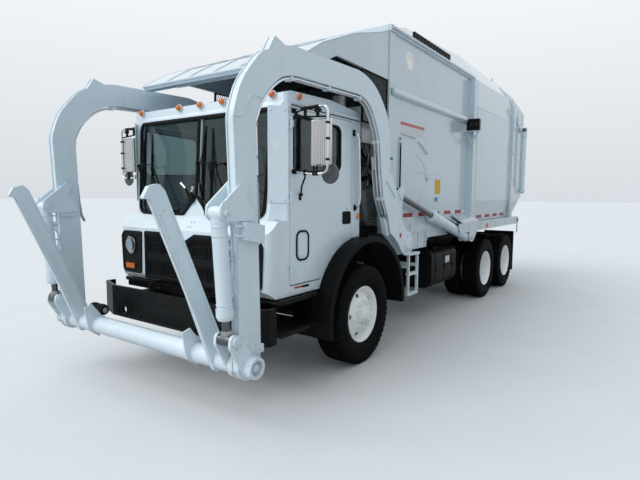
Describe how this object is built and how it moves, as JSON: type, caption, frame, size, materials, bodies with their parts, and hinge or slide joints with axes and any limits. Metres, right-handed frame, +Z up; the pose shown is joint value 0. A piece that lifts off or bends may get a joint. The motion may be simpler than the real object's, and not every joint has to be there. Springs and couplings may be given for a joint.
{
  "type": "garbage truck",
  "caption": "Cab-over garbage truck with hinged front lift arms and forks that fold up, a hopper under a sloped canopy, a packer panel, a box body and a lifting tailgate.",
  "frame": {"origin": "on the ground, in the middle of the truck's length and width", "axes": "+Y to the truck's rear, +X to the truck's left, +Z up"},
  "size_m": [3.03, 9.4044, 4.1198],
  "materials": {
    "white_paint": "gloss white coat, slightly cool",
    "chassis_black": "satin black coat",
    "engine_metal": "painted casting",
    "fender_black": "moulded black",
    "mudflap_rubber": "matt",
    "tinted_glass": "green tint",
    "interior_plastic": "grained dark grey",
    "trim_black": "satin black",
    "lamp_lens": "amber lens",
    "stack_steel": "grey heat-worn",
    "packer_steel": "painted plate",
    "bumper_rubber": "matt black",
    "rim_white": "gloss white",
    "tyre": "matt black",
    "mirror_steel": "ribbed stainless",
    "rod_chrome": "polished"
  },
  "bodies": {
    "truck": {"chassis_frame": "chassis_black", "front_axle": "chassis_black", "drive_axles": "chassis_black", "engine_block": "engine_metal", "tanks": "chassis_black", "front_fenders": "fender_black", "bumper_and_steps": "chassis_black", "ladder_step": "white_paint", "mudflaps": "mudflap_rubber", "cab_shell": "white_paint", "cab_glass": "tinted_glass", "cab_interior": "interior_plastic", "front_trim": "trim_black", "lamps": "lamp_lens", "exhaust_stack": "stack_steel", "body_shell": "white_paint", "body_rails": "white_paint", "canopy": "white_paint"},
    "packer": {"packer_panel": "packer_steel"},
    "tailgate": {"tailgate": "white_paint"},
    "arms": {"lift_arms": "white_paint"},
    "forks": {"forks": "white_paint", "fork_bumpers": "bumper_rubber"},
    "knuckle_left": {"knuckle_left": "chassis_black"},
    "front_wheel_left": {"front_rim_left": "rim_white", "front_tyre_left": "tyre"},
    "drive_wheels_left": {"drive_rim_left": "rim_white", "drive_tyres_left": "tyre"},
    "rear_wheels_left": {"rear_rim_left": "rim_white", "rear_tyres_left": "tyre"},
    "door_left": {"door_left": "white_paint", "door_glass_left": "tinted_glass", "mirror_left": "mirror_steel"},
    "fork_barrel_left": {"fork_barrel_left": "white_paint"},
    "fork_rod_left": {"fork_rod_left": "rod_chrome"},
    "lift_barrel_left": {"lift_barrel_left": "white_paint"},
    "lift_rod_left": {"lift_rod_left": "rod_chrome"},
    "gate_barrel_left": {"gate_barrel_left": "white_paint"},
    "gate_rod_left": {"gate_rod_left": "rod_chrome"},
    "knuckle_right": {"knuckle_right": "chassis_black"},
    "front_wheel_right": {"front_rim_right": "rim_white", "front_tyre_right": "tyre"},
    "drive_wheels_right": {"drive_rim_right": "rim_white", "drive_tyres_right": "tyre"},
    "rear_wheels_right": {"rear_rim_right": "rim_white", "rear_tyres_right": "tyre"},
    "door_right": {"door_right": "white_paint", "door_glass_right": "tinted_glass", "mirror_right": "mirror_steel"},
    "fork_barrel_right": {"fork_barrel_right": "white_paint"},
    "fork_rod_right": {"fork_rod_right": "rod_chrome"},
    "lift_barrel_right": {"lift_barrel_right": "white_paint"},
    "lift_rod_right": {"lift_rod_right": "rod_chrome"},
    "gate_barrel_right": {"gate_barrel_right": "white_paint"},
    "gate_rod_right": {"gate_rod_right": "rod_chrome"}
  },
  "joints": [
    {"name": "arm_lift", "type": "hinge", "parent": "truck", "child": "arms", "pos_m": [0, -1.356, 1.228], "axis": [-1, 0, 0], "range_deg": [-2, 94]},
    {"name": "fork_swing", "type": "hinge", "parent": "arms", "child": "forks", "pos_m": [0, -4.07, 0.518], "axis": [1, 0, 0], "range_deg": [0, 72]},
    {"name": "tailgate_lift", "type": "hinge", "parent": "truck", "child": "tailgate", "pos_m": [0, 3.515, 4.085], "axis": [1, 0, 0], "range_deg": [0, 55]},
    {"name": "packer_slide", "type": "slide", "parent": "truck", "child": "packer", "axis": [0, 1, 0], "range_m": [0, 4.1]},
    {"name": "lift_barrel_left", "type": "hinge", "parent": "truck", "child": "lift_barrel_left", "pos_m": [1.21, 0.935, 1.135], "axis": [1, 0, 0], "range_deg": [-0.43, 6.27]},
    {"name": "lift_rod_left", "type": "slide", "parent": "lift_barrel_left", "child": "lift_rod_left", "axis": [0, -0.9657, 0.2597], "range_m": [-0.88553, 0.02178]},
    {"name": "fork_barrel_left", "type": "hinge", "parent": "arms", "child": "fork_barrel_left", "pos_m": [1.21, -4.292, 1.658], "axis": [1, 0, 0], "range_deg": [-6.36, 0.3]},
    {"name": "fork_rod_left", "type": "slide", "parent": "fork_barrel_left", "child": "fork_rod_left", "axis": [0, 0.072, -0.9974], "range_m": [-0.003, 0.30584]},
    {"name": "gate_barrel_left", "type": "hinge", "parent": "truck", "child": "gate_barrel_left", "pos_m": [1.275, 4.185, 1.88], "axis": [1, 0, 0], "range_deg": [-11.81, 0.3]},
    {"name": "gate_rod_left", "type": "slide", "parent": "gate_barrel_left", "child": "gate_rod_left", "axis": [0, 0.0157, 0.9999], "range_m": [-0.003, 1.02023]},
    {"name": "steer_left", "type": "hinge", "parent": "truck", "child": "knuckle_left", "pos_m": [0.84, -2.215, 0.528], "axis": [0, 0, 1], "range_deg": [-33, 33]},
    {"name": "front_spin_left", "type": "hinge", "parent": "knuckle_left", "child": "front_wheel_left", "pos_m": [1.054, -2.215, 0.528], "axis": [1, 0, 0], "continuous": true},
    {"name": "drive_spin_left", "type": "hinge", "parent": "truck", "child": "drive_wheels_left", "pos_m": [0.9175, 2.017, 0.515], "axis": [1, 0, 0], "continuous": true},
    {"name": "rear_spin_left", "type": "hinge", "parent": "truck", "child": "rear_wheels_left", "pos_m": [0.9175, 3.313, 0.515], "axis": [1, 0, 0], "continuous": true},
    {"name": "door_left", "type": "hinge", "parent": "truck", "child": "door_left", "pos_m": [1.0725, -3.313, 1.7], "axis": [0, 0, -1], "range_deg": [0, 62]},
    {"name": "lift_barrel_right", "type": "hinge", "parent": "truck", "child": "lift_barrel_right", "pos_m": [-1.21, 0.935, 1.135], "axis": [1, 0, 0], "range_deg": [-0.43, 6.27]},
    {"name": "lift_rod_right", "type": "slide", "parent": "lift_barrel_right", "child": "lift_rod_right", "axis": [0, -0.9657, 0.2597], "range_m": [-0.88553, 0.02178]},
    {"name": "fork_barrel_right", "type": "hinge", "parent": "arms", "child": "fork_barrel_right", "pos_m": [-1.21, -4.292, 1.658], "axis": [1, 0, 0], "range_deg": [-6.36, 0.3]},
    {"name": "fork_rod_right", "type": "slide", "parent": "fork_barrel_right", "child": "fork_rod_right", "axis": [0, 0.072, -0.9974], "range_m": [-0.003, 0.30584]},
    {"name": "gate_barrel_right", "type": "hinge", "parent": "truck", "child": "gate_barrel_right", "pos_m": [-1.275, 4.185, 1.88], "axis": [1, 0, 0], "range_deg": [-11.81, 0.3]},
    {"name": "gate_rod_right", "type": "slide", "parent": "gate_barrel_right", "child": "gate_rod_right", "axis": [0, 0.0157, 0.9999], "range_m": [-0.003, 1.02023]},
    {"name": "steer_right", "type": "hinge", "parent": "truck", "child": "knuckle_right", "pos_m": [-0.84, -2.215, 0.528], "axis": [0, 0, 1], "range_deg": [-33, 33]},
    {"name": "front_spin_right", "type": "hinge", "parent": "knuckle_right", "child": "front_wheel_right", "pos_m": [-1.054, -2.215, 0.528], "axis": [1, 0, 0], "continuous": true},
    {"name": "drive_spin_right", "type": "hinge", "parent": "truck", "child": "drive_wheels_right", "pos_m": [-0.9175, 2.017, 0.515], "axis": [1, 0, 0], "continuous": true},
    {"name": "rear_spin_right", "type": "hinge", "parent": "truck", "child": "rear_wheels_right", "pos_m": [-0.9175, 3.313, 0.515], "axis": [1, 0, 0], "continuous": true},
    {"name": "door_right", "type": "hinge", "parent": "truck", "child": "door_right", "pos_m": [-1.0725, -3.313, 1.7], "axis": [0, 0, 1], "range_deg": [0, 62]}
  ],
  "couplings": [
    {"joint": "lift_barrel_left", "follows": "arm_lift", "ratio": 0.063548},
    {"joint": "lift_rod_left", "follows": "arm_lift", "m_per_rad": -0.53793},
    {"joint": "fork_barrel_left", "follows": "fork_swing", "ratio": -0.084224},
    {"joint": "fork_rod_left", "follows": "fork_swing", "m_per_rad": 0.24099},
    {"joint": "gate_barrel_left", "follows": "tailgate_lift", "ratio": -0.20928},
    {"joint": "gate_rod_left", "follows": "tailgate_lift", "m_per_rad": 1.0597},
    {"joint": "lift_barrel_right", "follows": "arm_lift", "ratio": 0.063548},
    {"joint": "lift_rod_right", "follows": "arm_lift", "m_per_rad": -0.53793},
    {"joint": "fork_barrel_right", "follows": "fork_swing", "ratio": -0.084224},
    {"joint": "fork_rod_right", "follows": "fork_swing", "m_per_rad": 0.24099},
    {"joint": "gate_barrel_right", "follows": "tailgate_lift", "ratio": -0.20928},
    {"joint": "gate_rod_right", "follows": "tailgate_lift", "m_per_rad": 1.0597},
    {"joint": "steer_right", "follows": "steer_left", "ratio": 1}
  ]
}
